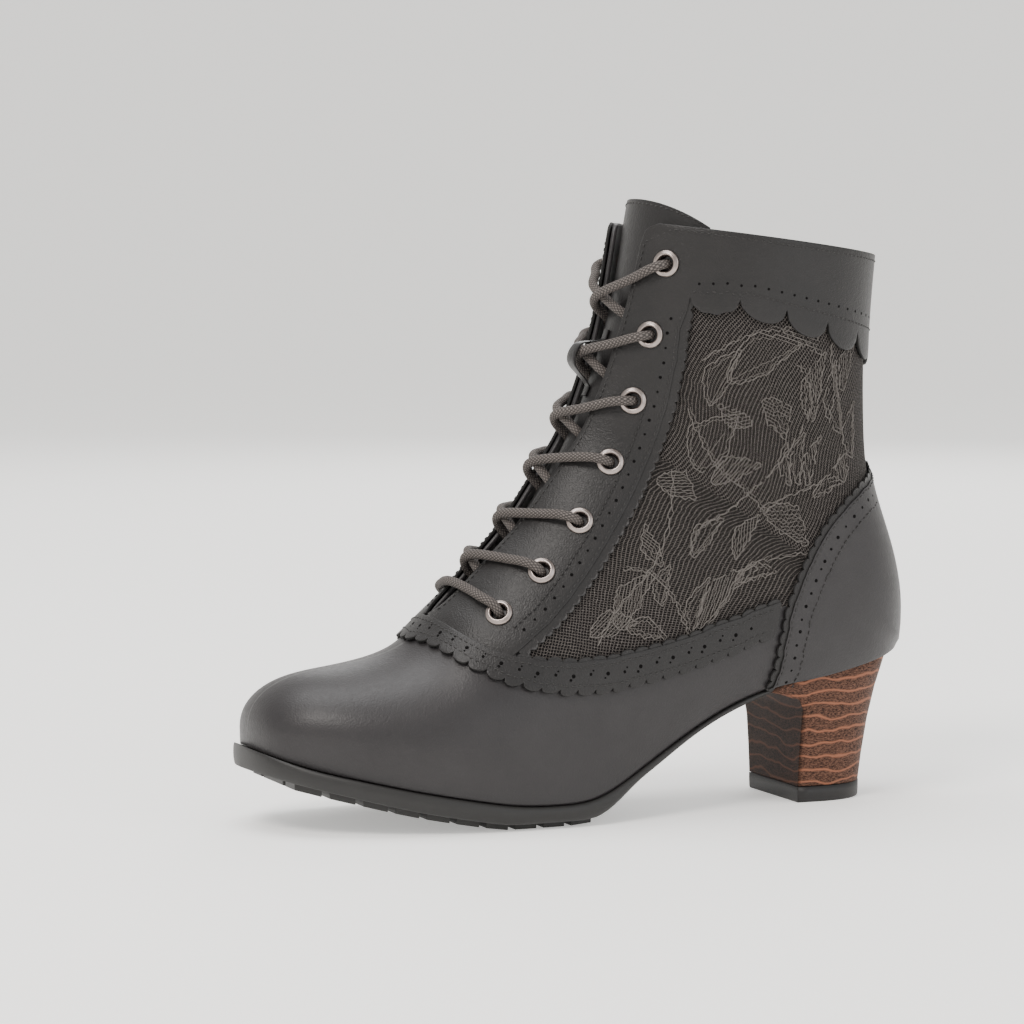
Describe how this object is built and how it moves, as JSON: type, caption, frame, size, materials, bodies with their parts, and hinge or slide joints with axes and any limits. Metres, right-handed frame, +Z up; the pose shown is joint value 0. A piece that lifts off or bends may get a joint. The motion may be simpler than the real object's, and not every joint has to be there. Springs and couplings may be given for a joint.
{
  "type": "victorian lace up boot",
  "caption": "Victorian lace-up ankle boot for the left foot: charcoal leather, lace-cloth side panels, scalloped cuff and wing band, stacked heel.",
  "frame": {"origin": "on the floor under the middle of the boot's bounding box", "axes": "+Z up; the toe points to -Y; +X towards the outer side of the left foot"},
  "size_m": [0.0823, 0.2481, 0.2158],
  "materials": {
    "smooth_leather": "charcoal, smooth with a fine grain",
    "overlay_leather": "charcoal, smooth, punched and stitched",
    "lining_board": "brown lining cloth over board",
    "sole_rubber": "matt dark grey",
    "stacked_leather": "stacked brown layers, satin",
    "lift_rubber": "matt black",
    "gunmetal": "brushed grey metal",
    "lace_cord": "woven round cord"
  },
  "bodies": {
    "root": {"upper": "smooth_leather", "tongue": "smooth_leather", "insole": "lining_board", "outsole": "sole_rubber", "heel": "stacked_leather", "top_lift": "lift_rubber", "collar_and_facings": "overlay_leather", "wing_band": "overlay_leather", "heel_counter": "overlay_leather", "eyelet_outer_1": "gunmetal", "eyelet_outer_2": "gunmetal", "eyelet_outer_3": "gunmetal", "eyelet_outer_4": "gunmetal", "eyelet_outer_5": "gunmetal", "eyelet_outer_6": "gunmetal", "eyelet_outer_7": "gunmetal", "eyelet_inner_1": "gunmetal", "eyelet_inner_2": "gunmetal", "eyelet_inner_3": "gunmetal", "eyelet_inner_4": "gunmetal", "eyelet_inner_5": "gunmetal", "eyelet_inner_6": "gunmetal", "eyelet_inner_7": "gunmetal", "lace_crossing_1": "lace_cord", "lace_crossing_2": "lace_cord", "lace_crossing_3": "lace_cord", "lace_crossing_4": "lace_cord", "lace_crossing_5": "lace_cord", "lace_crossing_6": "lace_cord", "lace_bar": "lace_cord", "lace_keeper": "smooth_leather"}
  },
  "joints": []
}
